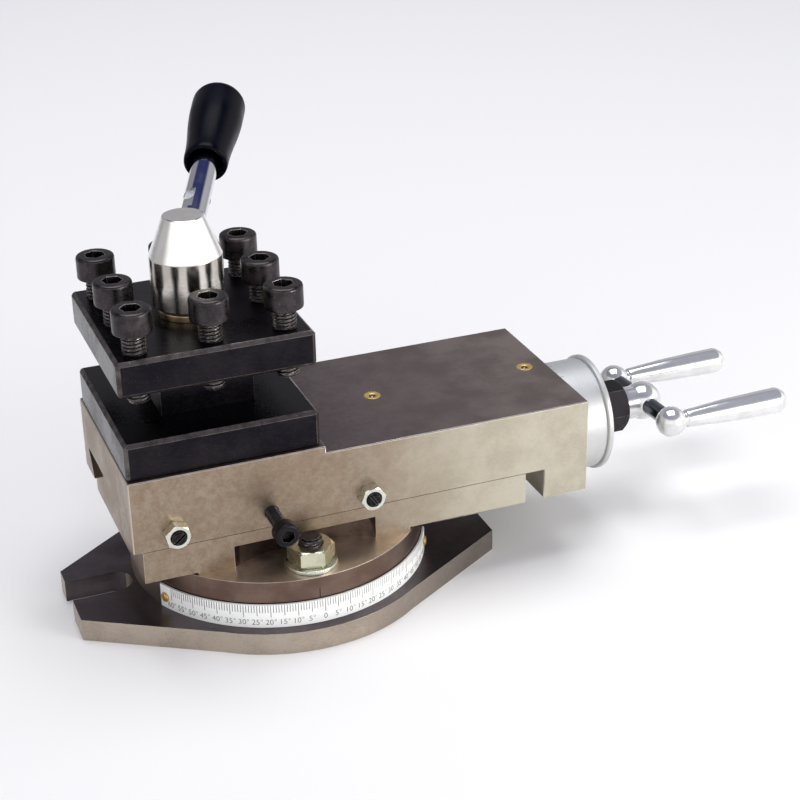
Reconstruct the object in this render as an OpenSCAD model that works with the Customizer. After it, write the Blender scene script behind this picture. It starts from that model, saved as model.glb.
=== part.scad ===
// Compound rest of a small lathe with a four-way tool post: a swivel base, a dovetail slide driven
// by a ball crank, and a square turret clamped by a lever.
// Origin: the swivel axis at the base's underside. +X runs along the slide towards the crank,
// -Y is the side with the gib screws, +Z is up. Millimetres.

/* [Base] */
// Thickness of the plate that is bolted down
base_t = 8; // [7:0.5:9]
// Distance from the swivel axis to each end of the plate
base_half_l = 76; // [73:1:80]
// Distance from the swivel axis to the front corners of the ends
base_front_w = 20; // [18:1:24]
// Distance from the swivel axis to the rear corners of the ends
base_rear_w = 14; // [13:1:20]
// Radius of the plate's round middle
base_r = 57; // [56:0.5:60]
// Radius of the raised boss that carries the disc
boss_r = 52.3; // [51.5:0.1:52.5]
// Height of the boss top above the underside
boss_top = 16.9; // [16.5:0.1:16.9]
// Width of the open bolt slot in each end
slot_w = 13; // [11:0.5:13]
// Distance from the swivel axis to the centre of each slot's round end
slot_x = 60; // [60:1:63]
// Radius of the circular T-slot's centre line
tslot_r = 42; // [41.5:0.1:42]
// Degrees from the slide's cross line to the two clamping bolts
bolt_turn = -1; // [-2:0.5:2]
// Degrees from the front to each end of the scale strip
scale_half_a = 66; // [64:1:70]

/* [Lower slide] */
// Radius of the swivel disc
disc_r = 52; // [51:0.1:52.2]
// Height of the disc's upper face
disc_top = 25; // [24:0.5:25]
// Radius of the pivot spigot under the disc
spigot_r = 10; // [8:0.5:12]
// Width of both slides
slide_w = 70; // [68:1:70]
// Underside of the lower slide
lower_z = 26; // [25.5:0.5:26]
// Height of the joint between the two slides
way_z = 37.6; // [37.4:0.1:38]
// Left end of the lower slide
lower_left = -56; // [-58:0.5:-54]
// Right end of the lower slide
lower_right = 82; // [80:0.5:83]
// Length of the cut that clears each clamp nut
pocket_l = 50.5; // [46:0.5:52]
// Depth of that cut at its middle
pocket_d = 6.8; // [6:0.1:7.5]
// Height of the top of that cut
pocket_top = 33; // [32.9:0.1:34]

/* [Top slide] */
// Left end of the top slide
top_left = -59; // [-61:0.5:-58]
// Right end of the top slide
top_right = 106; // [104:0.5:108]
// Height of the long upper face
top_z = 61.2; // [60:0.1:62]
// Height of the raised seat under the tool post
seat_z = 63.6; // [63:0.1:64]
// Right edge of the raised seat
seat_right = 8.5; // [8:0.5:10]
// Inner face of the leg that carries the leadscrew
leg_left = 89; // [88.5:0.5:91]
// Depth of the dovetail groove
dovetail_h = 10; // [9:0.5:10]
// Place of the left gib screw along the slide
gib_left_x = -44.5; // [-48:0.5:-40]
// Height of the left gib screw
gib_left_z = 43; // [42:0.2:43.2]
// Place of the right gib screw along the slide
gib_right_x = 23.5; // [15:0.5:30]
// Height of the right gib screw
gib_right_z = 42.2; // [42:0.2:43.2]
// Place of the lock screw along the slide
lock_x = -11.5; // [-14:0.5:-8]
// Height of the lock screw
lock_z = 43; // [42:0.2:43.2]
// Place of the left ball oiler along the slide
oiler_left_x = 38; // [15:0.5:60]
// Place of the right ball oiler along the slide
oiler_right_x = 97.5; // [95:0.5:98]

/* [Leadscrew and crank] */
// Height of the leadscrew's axis
screw_z = 38; // [37.5:0.5:38]
// Radius of the leadscrew
screw_r = 5; // [4.5:0.5:5]
// Radius of the dial's sleeve
dial_r = 20.6; // [19:0.1:22]
// Outer end of the dial
dial_right = 124; // [122:0.5:125]
// Size across the flats of the drive nut
drive_nut_af = 17; // [16:1:17]
// Centre of the crank's middle ball
crank_x = 147; // [146:0.5:149]
// Distance from the middle ball to each end ball
crank_arm = 22.5; // [20:0.5:26]
// Tilt of the crank's arms at rest
crank_tilt = 3; // [0:1:90]
// Radius of the middle ball
mid_ball_r = 7.3; // [7:0.1:8]
// Radius of the end balls
end_ball_r = 5.7; // [5.5:0.1:6]
// Outer end of the crank's two grips
grip_right = 194.5; // [188:0.5:200]

/* [Tool post] */
// Side of the square tool post
post_w = 66; // [62:0.5:66]
// Place of the tool post's axis along the slide
post_x = -25.6; // [-26:0.1:-25]
// Height of the floor of the tool slots
slot_floor = 76.3; // [75:0.1:77]
// Height of the roof of the tool slots
slot_roof = 92.6; // [92:0.1:94]
// Height of the tool post's top
post_top = 105; // [104:0.1:106]
// Depth of the tool slots
slot_d = 17; // [15:0.5:18]
// Distance from the axis to each row of clamping screws
screw_grid = 25; // [24:0.5:26]
// Height of the top of the clamping screws
screw_top = 120; // [118:0.5:121]

/* [Clamp lever] */
// Radius of the clamping hub
hub_r = 12.2; // [11:0.1:12.5]
// Underside of the hub
hub_bottom = 108.4; // [108:0.1:109]
// Height where the hub's cone starts
hub_shoulder = 125.3; // [123:0.1:127]
// Height of the hub's top
hub_top = 138.7; // [137:0.1:140]
// Direction of the lever seen from above
lever_a = 65; // [0:5:360]
// Rise of the lever above the horizontal
lever_rise = 16; // [14:1:30]
// Distance along the lever where the grip starts
grip_start = 49; // [45:0.5:52]
// Distance along the lever where the grip ends
grip_end = 90; // [85:0.5:100]

/* [Hidden] */
$fn = 96;
over = 1;                // how far a cut runs past the face it starts from
slide_gap = 0.05;        // clearance of shafts in their holes and of slideways
pass_gap = 0.3;          // clearance of faces that only pass each other
fixed_gap = 0.02;        // play of pieces that are fixed to each other

// Base
tslot_floor = 3;
tslot_roof = 9;
tslot_head = 6.5;
tslot_neck = 4.3;
scale_t = 0.7;
scale_screw_a = scale_half_a - 2.8;
scale_mid = (base_t + boss_top) / 2;

// Clamping bolts of the swivel
bolt_r = 4;
bolt_top = disc_top + 10.5;
washer_t = 1.6;
washer_r = 9;
nut_af = 14;
nut_h = 6;
nut_turn = -12;

// Dovetail: the groove's front and rear edges at the level of the ways
flank = 1 / tan(60);
groove_front = -21;
groove_rear = 22;
groove_top = way_z + dovetail_h;
slide_chamfer = 0.35;
gib_w = 4.6;
gib_gap = 0.8;
channel_left = -20;
channel_w = 24;
channel_floor = 31;
leadnut_x = 66;
leadnut_l = 20;
leadnut_top = 46;
leadnut_screw_y = 8.4;

// Leadscrew and dial
screw_left = -10;
collar_r = 9.2;
collar_t = 3.4;
bush_left = leg_left + 4;
journal_end = crank_x + 3;
dial_left = top_right + 0.6;
dial_hub_r = 9;
dial_web = dial_right - 5;
rim_l = 2.3;
rim_extra = 1;
nut_left = dial_right + 1;
nut_right = 137.5;
arm_r = 3.2;

// Screws and oilers of the top slide
GIB_SCREWS = [[gib_left_x, gib_left_z], [gib_right_x, gib_right_z]];
OILERS = [oiler_left_x, oiler_right_x];
gib_screw_r = 2.5;
gib_screw_reach = 40.3;
lock_screw_r = 2.5;
oiler_r = 3;

// Tool post
post_chamfer = 1.2;
index_r = 20;
index_ball_r = 3;
stud_r = 7;
stud_thread_r = 6;
stud_top = 120;
m8_r = 4;
m8_head_r = 6.5;
m8_head_h = 8;
m8_shank = 24;
hub_top_r = 6.75;
rod_r = 4.6;
rod_start = 6;
flat_turn = 45;
flat_half = 3.2;
flat_start = 18.5;
flat_l = 10;
grip_rim_r = 7.8;
grip_max_r = 9.6;
rod_height = 126.4;
washer_top = 107.6;

// A block with every edge chamfered
module chamfered_block(size, c) {
    intersection_for (turn = [[0, 0, 0], [90, 0, 0], [0, 90, 0]]) {
        dims = turn == [0, 0, 0] ? size
            : turn == [90, 0, 0] ? [size[0], size[2], size[1]]
            : [size[2], size[1], size[0]];
        rotate(turn) linear_extrude(dims[2], center = true) polygon([
            for (corner = [[1, 1], [-1, 1], [-1, -1], [1, -1]])
                let (x = dims[0] / 2, y = dims[1] / 2, swap = corner[0] == corner[1])
                for (k = swap ? [0, 1] : [1, 0])
                    [corner[0] * (x - k * c), corner[1] * (y - (1 - k) * c)]
        ]);
    }
}

// A block given by its low and high corners
module box(low, high) {
    translate(low) cube(high - low);
}

// A socket head screw along Z with the underside of its head at the origin
module cap_screw(r, length, head_r, head_h, socket_af) {
    difference() {
        union() {
            rotate_extrude() polygon([[0, 0], [head_r - 0.3, 0], [head_r, 0.3],
                [head_r, head_h - 0.7], [head_r - 0.7, head_h], [0, head_h]]);
            translate([0, 0, -length]) cylinder(r1 = r - 0.7, r2 = r, h = 0.7);
            translate([0, 0, 0.7 - length]) cylinder(r = r, h = length - 0.7 + 0.1);
        }
        translate([0, 0, head_h * 0.45]) cylinder(d = socket_af / cos(30), h = head_h, $fn = 6);
    }
}

// A hexagonal nut along Z standing on the origin, with its corners chamfered
module hex_nut(af, h, hole_r) {
    corner = af / 2 / cos(30);
    difference() {
        intersection() {
            cylinder(r = corner, h = h, $fn = 6);
            rotate_extrude() polygon([[0, 0], [af / 2, 0], [corner, (corner - af / 2) * 0.6],
                [corner, h - (corner - af / 2) * 0.6], [af / 2, h], [0, h]]);
        }
        translate([0, 0, -over]) cylinder(r = hole_r, h = h + 2 * over);
    }
}

// A round bar along X between two places
module bar_x(x1, x2, r) {
    translate([x1, 0, 0]) rotate([0, 90, 0]) cylinder(r = r, h = x2 - x1);
}

// Places something on the leadscrew's axis
module on_screw_axis() {
    translate([0, 0, screw_z]) children();
}

// Turns Z into the lever's direction, starting on the hub's axis
module along_lever() {
    translate([post_x, 0, rod_height]) rotate([0, 90 - lever_rise, lever_a]) children();
}

// Angle from +X at which a straight edge from a corner touches the round middle
function tangent_angle(x, y, r, side) = atan2(y, x) + side * acos(r / norm([x, y]));

function on_circle(r, a) = [r * cos(a), r * sin(a)];

module plate_outline() {
    inner = base_r - 0.2;
    circle(r = base_r);
    polygon([
        [-base_half_l, -base_front_w],
        on_circle(inner, tangent_angle(-base_half_l, -base_front_w, base_r, 1)),
        on_circle(inner, tangent_angle(base_half_l, -base_front_w, base_r, -1)),
        [base_half_l, -base_front_w],
        [base_half_l, base_rear_w],
        on_circle(inner, tangent_angle(base_half_l, base_rear_w, base_r, 1)),
        on_circle(inner, tangent_angle(-base_half_l, base_rear_w, base_r, -1)),
        [-base_half_l, base_rear_w]
    ]);
}

module bolt_slot() {
    linear_extrude(base_t + 2 * over) {
        circle(d = slot_w);
        translate([0, -slot_w / 2]) square([base_half_l, slot_w]);
    }
}

module at_scale_screws() {
    for (side = [-1, 1])
        rotate([0, 0, -90 + side * scale_screw_a]) translate([boss_r, 0, scale_mid]) rotate([0, 90, 0])
            children();
}

module swivel_base() {
    color([0.30, 0.27, 0.27]) difference() {
        union() {
            linear_extrude(base_t) plate_outline();
            cylinder(r = boss_r, h = boss_top);
        }
        for (turn = [0, 180])
            rotate([0, 0, turn]) translate([slot_x, 0, -over]) bolt_slot();
        rotate_extrude() polygon([
            [tslot_r - tslot_head, tslot_floor], [tslot_r + tslot_head, tslot_floor],
            [tslot_r + tslot_head, tslot_roof], [tslot_r + tslot_neck, tslot_roof],
            [tslot_r + tslot_neck, boss_top + over], [tslot_r - tslot_neck, boss_top + over],
            [tslot_r - tslot_neck, tslot_roof], [tslot_r - tslot_head, tslot_roof]
        ]);
        translate([tslot_r, 0, tslot_floor]) cylinder(r = 7.4, h = boss_top);
        translate([0, 0, tslot_floor]) cylinder(r = spigot_r + slide_gap, h = boss_top);
        at_scale_screws() translate([0, 0, -3.2]) cylinder(r = 0.9, h = 5);
    }
}

module degree_scale() {
    color([0.88, 0.89, 0.88]) difference() {
        rotate([0, 0, -90 - scale_half_a]) rotate_extrude(angle = 2 * scale_half_a)
            translate([boss_r + fixed_gap, base_t + 0.1]) square([scale_t, boss_top - base_t - 0.2]);
        at_scale_screws() translate([0, 0, -over]) cylinder(r = 1.1, h = 4);
    }
}

module scale_screws() {
    color([0.80, 0.58, 0.22]) at_scale_screws() difference() {
        translate([0, 0, -3]) union() {
            cylinder(r = 0.85, h = 3 + scale_t + 0.4);
            translate([0, 0, 3 + scale_t + 0.1]) cylinder(r = 1.75, h = 0.9);
        }
        translate([-0.25, -2, scale_t + 0.6]) cube([0.5, 4, 1]);
    }
}

// Places something on the axis of one clamping bolt, -1 for the front and 1 for the rear
module at_clamp_bolt(side) {
    rotate([0, 0, bolt_turn]) translate([0, side * tslot_r, 0]) children();
}

module at_clamp_bolts() {
    for (side = [-1, 1]) at_clamp_bolt(side) children();
}

// The cut in the lower slide's side that clears a clamp nut; its wall is part of a cylinder
module nut_pocket(side) {
    wall_r = (pow(pocket_l / 2, 2) + pow(pocket_d, 2)) / (2 * pocket_d);
    translate([0, side * (slide_w / 2 - pocket_d + wall_r), disc_top])
        cylinder(r = wall_r, h = pocket_top - disc_top);
}

module swivel_slide() {
    color([0.62, 0.57, 0.50]) difference() {
        union() {
            translate([0, 0, boss_top + 0.2]) cylinder(r = disc_r, h = disc_top - boss_top - 0.2);
            translate([0, 0, tslot_floor + 0.5]) cylinder(r = spigot_r, h = disc_top - tslot_floor - 0.5);
            box([-38, -slide_w / 2, disc_top - 1], [38, slide_w / 2, lower_z + 1]);
            box([lower_left, -slide_w / 2, lower_z], [lower_right, slide_w / 2, way_z]);
            male_dovetail();
        }
        for (side = [-1, 1]) nut_pocket(side);
        at_clamp_bolts() cylinder(r = bolt_r + pass_gap, h = 40);
        box([channel_left, -channel_w / 2, channel_floor],
            [lower_right + over, channel_w / 2, groove_top + over]);
        for (side = [-1, 1])
            translate([leadnut_x, side * leadnut_screw_y, 27]) cylinder(r = 2, h = 10);
    }
}

module male_dovetail() {
    h = dovetail_h - pass_gap;
    front = groove_front + gib_w + 2 * slide_gap;
    rear = groove_rear - slide_gap;
    translate([lower_left, 0, 0]) rotate([90, 0, 90]) linear_extrude(lower_right - lower_left)
        polygon([[front + over * flank, way_z - over], [rear - over * flank, way_z - over],
            [rear + h * flank, way_z + h], [front - h * flank, way_z + h]]);
}

module t_bolts() {
    color([0.16, 0.15, 0.15]) at_clamp_bolts() {
        intersection() {
            translate([0, 0, tslot_floor + 0.6]) cylinder(r = 7, h = 5.1);
            translate([-8, -6, 0]) cube([16, 12, 20]);
        }
        translate([0, 0, tslot_floor + 1]) cylinder(r = bolt_r, h = bolt_top - tslot_floor - 1.6);
        translate([0, 0, bolt_top - 0.6]) cylinder(r1 = bolt_r, r2 = bolt_r - 0.6, h = 0.6);
    }
}

module t_bolt_washers() {
    color([0.82, 0.82, 0.74]) at_clamp_bolts() difference() {
        translate([0, 0, disc_top]) cylinder(r = washer_r, h = washer_t);
        cylinder(r = bolt_r + 0.2, h = 40);
    }
}

module clamp_nut(side) {
    color([0.80, 0.80, 0.68]) at_clamp_bolt(side) translate([0, 0, disc_top + washer_t + slide_gap])
        rotate([0, 0, nut_turn]) hex_nut(nut_af, nut_h, bolt_r + slide_gap);
}

module front_clamp_nut() {
    clamp_nut(-1);
}

module rear_clamp_nut() {
    clamp_nut(1);
}

module at_nut_screws(z) {
    for (side = [-1, 1])
        translate([leadnut_x, side * leadnut_screw_y, z]) children();
}

module leadscrew_nut() {
    color([0.72, 0.53, 0.30]) difference() {
        box([leadnut_x - leadnut_l / 2, -channel_w / 2 + slide_gap, channel_floor],
            [leadnut_x + leadnut_l / 2, channel_w / 2 - slide_gap, leadnut_top]);
        on_screw_axis() bar_x(0, 100, screw_r + slide_gap);
        at_nut_screws(0) cylinder(r = 2.2, h = 60);
        at_nut_screws(leadnut_top - 4.2) cylinder(r = 3.7, h = 10);
    }
}

module nut_screws() {
    color([0.15, 0.15, 0.15]) at_nut_screws(leadnut_top - 4.2)
        cap_screw(2 - fixed_gap, 14, 3.5, 4, 3);
}

// The groove under the top slide, from its open left end to the leg
module female_dovetail() {
    translate([top_left - over, 0, 0]) rotate([90, 0, 90]) linear_extrude(leg_left - top_left + over)
        polygon([[groove_front + over * flank, way_z - over], [groove_rear - over * flank, way_z - over],
            [groove_rear + dovetail_h * flank, groove_top],
            [groove_front - dovetail_h * flank, groove_top]]);
}

// A round hole from the front face towards the gib
module front_hole(x, z, r) {
    translate([x, -slide_w / 2 - over, z]) rotate([-90, 0, 0]) cylinder(r = r, h = 20);
}

module at_index_ball() {
    translate([post_x, index_r, 0]) children();
}

// A block as wide as the slide between two places along X, with its long edges chamfered
module slide_block(left, right, low, high) {
    translate([(left + right) / 2, 0, (low + high) / 2])
        chamfered_block([right - left, slide_w, high - low], slide_chamfer);
}

module top_slide() {
    bottom = way_z + slide_gap;
    color([0.60, 0.55, 0.49]) difference() {
        union() {
            difference() {
                union() {
                    slide_block(top_left, top_right, bottom - over, top_z);
                    slide_block(top_left, seat_right, bottom - over, seat_z);
                }
                box([top_left - over, -slide_w, bottom - 2 * over], [top_right + over, slide_w, bottom]);
            }
            slide_block(leg_left, top_right, lower_z + 0.1, top_z);
        }
        female_dovetail();
        for (place = GIB_SCREWS) front_hole(place[0], place[1], gib_screw_r);
        front_hole(lock_x, lock_z, lock_screw_r + slide_gap);
        for (x = OILERS) translate([x, 0, top_z - 5]) cylinder(r = oiler_r, h = 6);
        translate([post_x, 0, groove_top - over]) cylinder(r = stud_thread_r, h = 30);
        at_index_ball() translate([0, 0, groove_top + 4.5]) cylinder(r = index_ball_r + slide_gap, h = 20);
        on_screw_axis() bar_x(leg_left - over, top_right + over, 8);
        on_screw_axis() bar_x(leg_left - over, bush_left, collar_r + pass_gap);
    }
}

module gib_strip() {
    front = groove_front + gib_gap;
    rear = groove_front + gib_w;
    top = dovetail_h - gib_gap;
    color([0.70, 0.69, 0.66]) translate([top_left + pass_gap, 0, 0]) rotate([90, 0, 90])
        linear_extrude(leg_left - top_left - 2 * pass_gap) polygon([
            [front - pass_gap * flank, way_z + pass_gap], [rear - pass_gap * flank, way_z + pass_gap],
            [rear - top * flank, way_z + top], [front - top * flank, way_z + top]]);
}

module gib_screws() {
    color([0.22, 0.21, 0.21]) for (place = GIB_SCREWS) {
        tip = groove_front - (place[1] - way_z + gib_screw_r) * flank - 0.1;
        translate([place[0], 0, place[1]]) difference() {
            union() {
                translate([0, tip, 0]) rotate([90, 0, 0])
                    cylinder(r = gib_screw_r - fixed_gap, h = gib_screw_reach + tip);
                translate([0, tip + 0.9, 0]) rotate([90, 0, 0]) cylinder(r = 1.2, h = 1.2);
            }
            translate([-3, -gib_screw_reach - 0.7, -0.4]) cube([6, 1.9, 0.8]);
        }
    }
}

module gib_locknuts() {
    color([0.84, 0.84, 0.80]) for (place = GIB_SCREWS)
        translate([place[0], -slide_w / 2, place[1]]) rotate([90, 0, 0]) hex_nut(8, 4, gib_screw_r);
}

module lock_screw() {
    color([0.13, 0.13, 0.13]) translate([lock_x, -47.4, lock_z]) rotate([90, 0, 0])
        cap_screw(lock_screw_r, 21.5, 4.25, 5, 4);
}

module oiler_cups() {
    color([0.78, 0.60, 0.26]) for (x = OILERS) translate([x, 0, top_z - 4]) difference() {
        cylinder(r = oiler_r - fixed_gap, h = 4.1);
        translate([0, 0, -over]) cylinder(r = 1.7, h = 6);
    }
}

module oiler_balls() {
    color([0.75, 0.75, 0.72]) for (x = OILERS) translate([x, 0, top_z - 1.6]) sphere(r = 1.6);
}

module bearing_bush() {
    color([0.72, 0.53, 0.30]) on_screw_axis() difference() {
        bar_x(bush_left + fixed_gap, top_right, 8 - fixed_gap);
        bar_x(0, 120, screw_r + slide_gap);
    }
}

module post_stud() {
    color([0.40, 0.40, 0.40]) translate([post_x, 0, 0]) {
        translate([0, 0, groove_top + 1])
            cylinder(r = stud_thread_r - fixed_gap, h = stud_top - groove_top - 1);
        translate([0, 0, seat_z]) cylinder(r = stud_r, h = post_top - 0.2 - seat_z);
    }
}

module index_ball() {
    color([0.75, 0.75, 0.75]) at_index_ball() translate([0, 0, seat_z - index_ball_r])
        sphere(r = index_ball_r);
}

// Points around the wire of a coil spring at one step along it
function coil_ring(coil_r, wire_r, rise, turns, step, steps) = let (
    a = 360 * turns * step / steps, z = rise * step / steps)
    [for (k = [0:7]) let (r = coil_r + wire_r * cos(45 * k))
        [r * cos(a), r * sin(a), z + wire_r * sin(45 * k)]];

module coil_spring(coil_r, wire_r, rise, turns) {
    steps = turns * 14;
    points = [for (s = [0:steps]) each coil_ring(coil_r, wire_r, rise, turns, s, steps)];
    sides = [for (s = [0:steps - 1]) for (k = [0:7]) let (n = (k + 1) % 8)
        [s * 8 + k, s * 8 + n, s * 8 + 8 + n, s * 8 + 8 + k]];
    polyhedron(points, concat([[7, 6, 5, 4, 3, 2, 1, 0]], sides,
        [[for (k = [0:7]) steps * 8 + k]]));
}

module index_spring() {
    low = groove_top + 4.5 + 0.5;
    high = seat_z - 2 * index_ball_r - 0.5;
    color([0.55, 0.55, 0.55]) at_index_ball() translate([0, 0, low])
        coil_spring(2.2, 0.35, high - low, 4);
}

module leadscrew() {
    color([0.50, 0.49, 0.47]) on_screw_axis() {
        bar_x(screw_left, journal_end, screw_r);
        bar_x(leg_left + pass_gap, leg_left + pass_gap + collar_t, collar_r);
    }
}

module dial_hub() {
    color([0.45, 0.45, 0.45]) on_screw_axis() difference() {
        union() {
            bar_x(dial_left, dial_right + 0.4, dial_hub_r);
            bar_x(dial_web - 6, dial_web - 3.5, dial_hub_r + 4);
        }
        bar_x(0, 200, screw_r + fixed_gap);
    }
}

module dial_spring() {
    color([0.60, 0.60, 0.58]) on_screw_axis() difference() {
        bar_x(dial_web - 3.3, dial_web - 0.4, dial_hub_r + 2.6);
        bar_x(0, 200, dial_hub_r + 0.4);
        bar_x(dial_web - 2.9, dial_web - 0.8, dial_hub_r + 2.2);
    }
}

module dial_ring() {
    color([0.80, 0.81, 0.82]) on_screw_axis() difference() {
        rotate([90, 0, 90]) rotate_extrude() polygon([
            [0, dial_left], [dial_r, dial_left], [dial_r, dial_right - rim_l],
            [dial_r + rim_extra, dial_right - rim_l + 0.3], [dial_r + rim_extra, dial_right - 0.5],
            [dial_r + rim_extra - 0.5, dial_right], [0, dial_right]]);
        bar_x(0, 200, dial_hub_r + slide_gap);
        bar_x(dial_left - over, dial_web, dial_r - 3);
    }
}

module drive_nut() {
    color([0.10, 0.10, 0.11]) on_screw_axis() translate([nut_left, 0, 0]) rotate([90, 0, 90])
        hex_nut(drive_nut_af, nut_right - nut_left, screw_r + fixed_gap);
}

// Places the crank's turning parts: the arms run along Y before the tilt
module on_crank() {
    translate([crank_x, 0, screw_z]) rotate([-crank_tilt, 0, 0]) children();
}

module arm_bar(side, near, far, r) {
    rotate([-90 * side, 0, 0]) translate([0, 0, near]) cylinder(r = r, h = far - near);
}

module crank_ball() {
    color([0.83, 0.84, 0.85]) difference() {
        union() {
            on_crank() rotate([90, 0, 0]) sphere(r = mid_ball_r);
            on_screw_axis() bar_x(nut_right + 0.2, crank_x - 3, 6.2);
        }
        on_screw_axis() bar_x(100, journal_end + 0.1, screw_r + fixed_gap);
        for (side = [-1, 1]) on_crank() arm_bar(side, 5.2, 10, arm_r + fixed_gap);
    }
}

module crank_arms() {
    color([0.25, 0.25, 0.27]) for (side = [-1, 1])
        on_crank() arm_bar(side, 5.3, crank_arm - 2.6, arm_r);
}

module crank_end_balls() {
    color([0.83, 0.84, 0.85]) for (side = [-1, 1]) difference() {
        on_crank() translate([0, side * crank_arm, 0]) sphere(r = end_ball_r);
        on_crank() arm_bar(side, 0, crank_arm - 2.5, arm_r + fixed_gap);
        on_crank() translate([0, side * crank_arm, 0]) bar_x(1, 10, 2 + fixed_gap);
    }
}

// The two tapered handles of the crank, each with a peg into its end ball
module crank_grips() {
    l = grip_right - crank_x;
    start = end_ball_r - 0.5;
    color([0.84, 0.85, 0.86]) for (side = [-1, 1])
        on_crank() translate([0, side * crank_arm, 0]) rotate([90, 0, 90]) rotate_extrude() polygon([
            [0, 1.2], [2, 1.2], [2, start], [2.8, start + 0.2], [3.1, start + 1],
            [4.5, start + 17], [4.7, start + 20], [5, l - 2], [4.3, l - 0.5], [3.4, l], [0, l]]);
}

// One of the tool post's two square plates, with a smaller chamfer along its underside if cut_low is
// above zero
module post_plate(low, high, cut_low = 0) {
    difference() {
        translate([0, 0, (low - cut_low + high) / 2])
            chamfered_block([post_w, post_w, high - low + cut_low], post_chamfer);
        box([-post_w, -post_w, low - cut_low - over], [post_w, post_w, low]);
    }
}

module tool_post() {
    core = post_w / 2 - slot_d;
    bottom = seat_z + 0.1;
    color([0.13, 0.13, 0.14]) translate([post_x, 0, 0]) difference() {
        union() {
            post_plate(bottom, slot_floor, 0.8);
            post_plate(slot_roof, post_top);
            box([-core, -core, slot_floor - over], [core, core, slot_roof + over]);
        }
        cylinder(r = stud_r + slide_gap, h = 200);
        for (x = [-1:1]) for (y = [-1:1]) if (x != 0 || y != 0)
            translate([x * screw_grid, y * screw_grid, slot_roof - over])
                cylinder(r = m8_r + slide_gap, h = 30);
        for (turn = [0:90:270]) rotate([0, 0, turn])
            translate([0, index_r, bottom - over]) cylinder(r1 = 3.2, r2 = 1.2, h = 2 + over);
    }
}

module hub_washer() {
    color([0.70, 0.56, 0.33]) translate([post_x, 0, post_top]) difference() {
        rotate_extrude() polygon([[0, 0], [10.8, 0], [10.8, washer_top - post_top - 0.5],
            [10.3, washer_top - post_top], [0, washer_top - post_top]]);
        translate([0, 0, -over]) cylinder(r = stud_r + 0.4, h = 10);
    }
}

module clamp_hub() {
    color([0.80, 0.80, 0.80]) difference() {
        translate([post_x, 0, 0]) rotate_extrude() polygon([
            [0, hub_bottom], [hub_r - 0.6, hub_bottom], [hub_r, hub_bottom + 0.6],
            [hub_r, hub_shoulder], [hub_top_r, hub_top - 0.2], [hub_top_r - 0.2, hub_top], [0, hub_top]]);
        translate([post_x, 0, hub_bottom - over])
            cylinder(r = stud_thread_r + slide_gap, h = stud_top - hub_bottom + over + 0.5);
        along_lever() translate([0, 0, rod_start]) cylinder(r = rod_r + fixed_gap, h = 20);
    }
}

module lever_rod() {
    color([0.78, 0.79, 0.82]) along_lever() difference() {
        translate([0, 0, rod_start + 0.1]) cylinder(r = rod_r, h = grip_start + 11 - rod_start);
        rotate([0, 0, flat_turn]) for (side = [-1, 1])
            translate([-6, side * (flat_half + 3) - 3, flat_start]) cube([12, 6, flat_l]);
    }
}

module lever_grip() {
    l = grip_end - grip_start;
    color([0.03, 0.03, 0.05]) along_lever() translate([0, 0, grip_start]) difference() {
        rotate_extrude() polygon(concat(
            [[0, 0], [grip_rim_r - 0.8, 0], [grip_rim_r, 0.8], [grip_rim_r, 3]],
            [for (s = [0.15:0.1:0.75])
                [grip_rim_r + (grip_max_r - grip_rim_r) * (1 - cos(180 * (s - 0.05) / 0.72)) / 2, s * l]],
            [for (a = [0:15:75]) [grip_max_r - 5 + 5 * cos(a), l - 4.5 + 4.5 * sin(a)]],
            [[grip_max_r - 5, l], [0, l]]));
        translate([0, 0, -over]) cylinder(r = rod_r + fixed_gap, h = 12.4);
        translate([0, 0, -over]) cylinder(r1 = 6.8, r2 = 6, h = 2 + over);
    }
}

// The eight clamping screws stand in rows along the four sides, numbered anticlockwise from the front left
SCREW_PLACES = [[-1, -1], [0, -1], [1, -1], [1, 0], [1, 1], [0, 1], [-1, 1], [-1, 0]];

module tool_screw(number) {
    place = SCREW_PLACES[number - 1] * screw_grid;
    color([0.12, 0.12, 0.12]) translate([post_x + place[0], place[1], screw_top - m8_head_h])
        rotate([0, 0, 17 * number]) cap_screw(m8_r, m8_shank, m8_head_r, m8_head_h, 6);
}

swivel_base();
degree_scale();
scale_screws();
swivel_slide();
t_bolts();
t_bolt_washers();
front_clamp_nut();
rear_clamp_nut();
leadscrew_nut();
nut_screws();
top_slide();
gib_strip();
gib_screws();
gib_locknuts();
lock_screw();
oiler_cups();
oiler_balls();
bearing_bush();
post_stud();
index_ball();
index_spring();
leadscrew();
dial_hub();
dial_spring();
dial_ring();
drive_nut();
crank_ball();
crank_arms();
crank_end_balls();
crank_grips();
tool_post();
hub_washer();
clamp_hub();
lever_rod();
lever_grip();
tool_screw(1);  // tool_screw_1
tool_screw(2);  // tool_screw_2
tool_screw(3);  // tool_screw_3
tool_screw(4);  // tool_screw_4
tool_screw(5);  // tool_screw_5
tool_screw(6);  // tool_screw_6
tool_screw(7);  // tool_screw_7
tool_screw(8);  // tool_screw_8
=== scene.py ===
import math

import bmesh
import bpy
from mathutils import Matrix, Vector


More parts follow.
